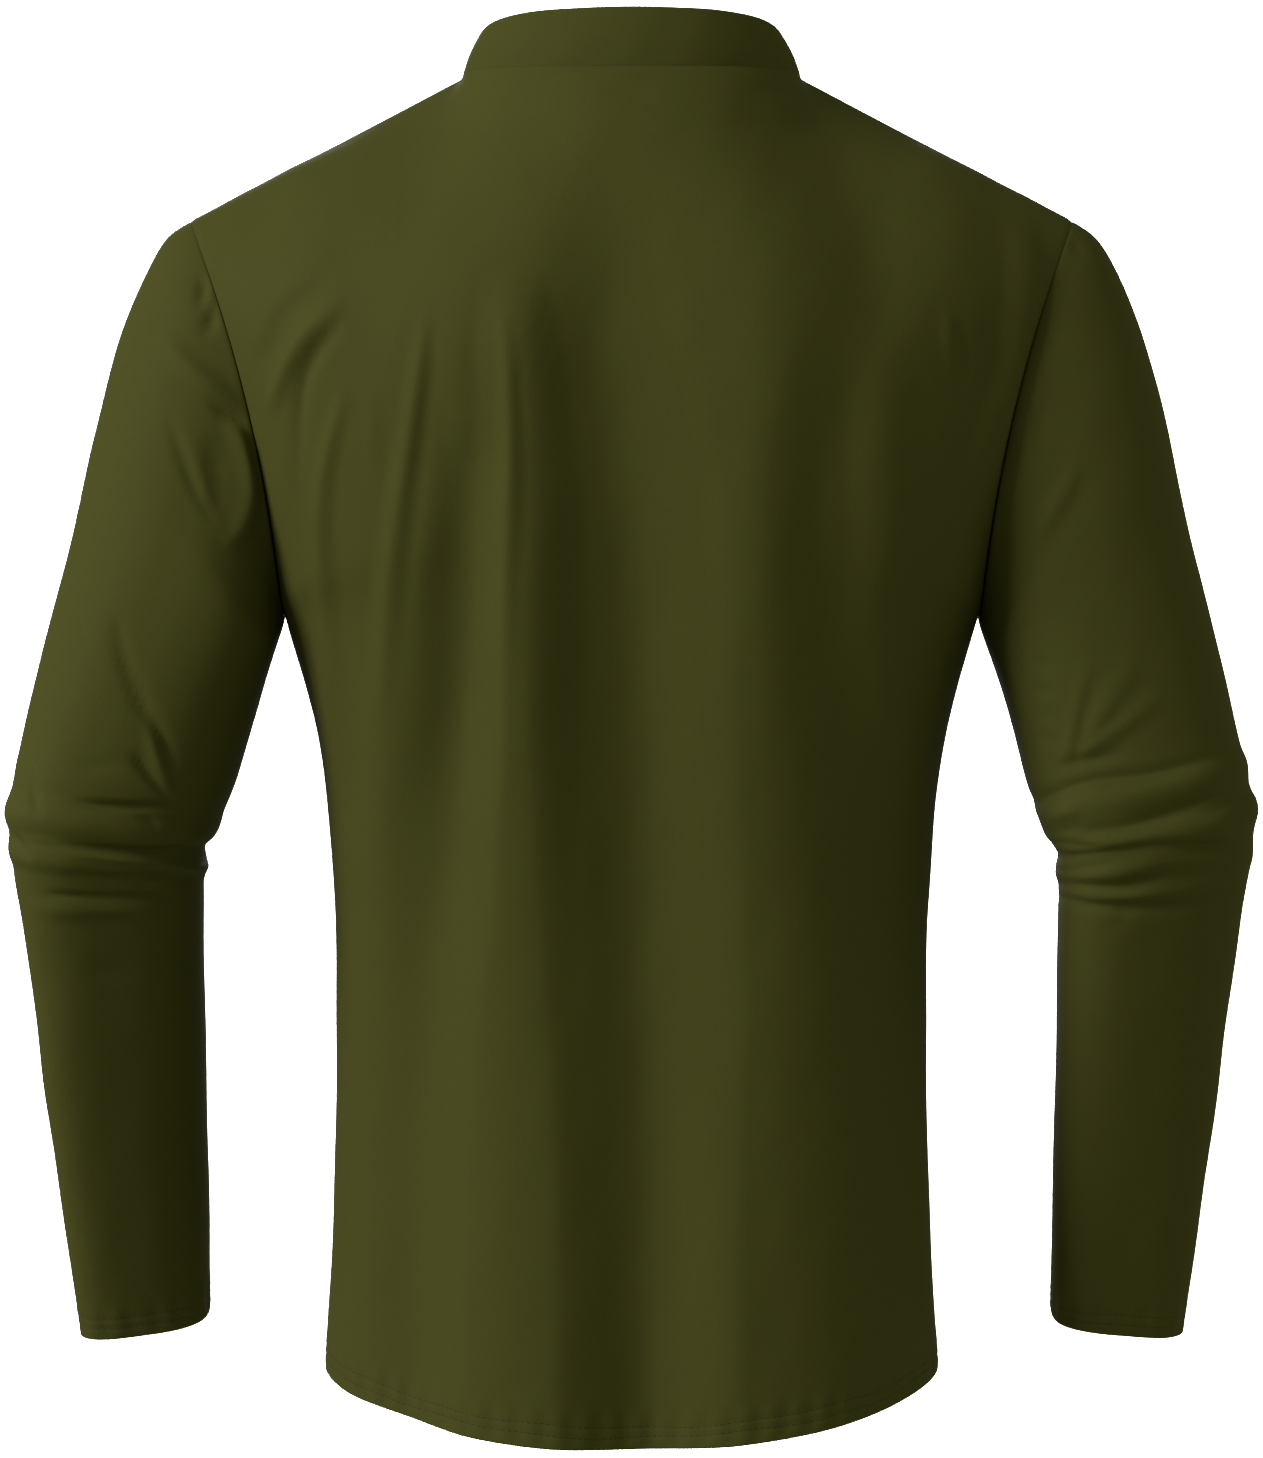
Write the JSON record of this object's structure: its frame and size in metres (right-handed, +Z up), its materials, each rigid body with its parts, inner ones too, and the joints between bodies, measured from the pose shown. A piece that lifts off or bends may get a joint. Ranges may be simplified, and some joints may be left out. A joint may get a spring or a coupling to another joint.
{
  "type": "long-sleeved stand-collar jersey shirt",
  "caption": "Long-sleeved pullover shirt in smooth stretch jersey with a low stand collar and a curved hem, in its hollow worn form.",
  "frame": {"origin": "midway between the two points where the shoulder seams meet the neck seam", "axes": "+Z up, the front of the shirt faces -Y, the wearer's left is +X"},
  "size_m": [0.6447, 0.2466, 0.7295],
  "materials": {
    "olive_jersey": "smooth stretch jersey, matt with a soft sheen",
    "olive_jersey_double": "the same jersey folded double, matt with a soft sheen",
    "olive_thread": "spun polyester thread, matt"
  },
  "bodies": {
    "root": {"back_panel": "olive_jersey", "front_panel": "olive_jersey", "sleeve_left": "olive_jersey", "sleeve_right": "olive_jersey", "collar": "olive_jersey_double"}
  },
  "joints": []
}
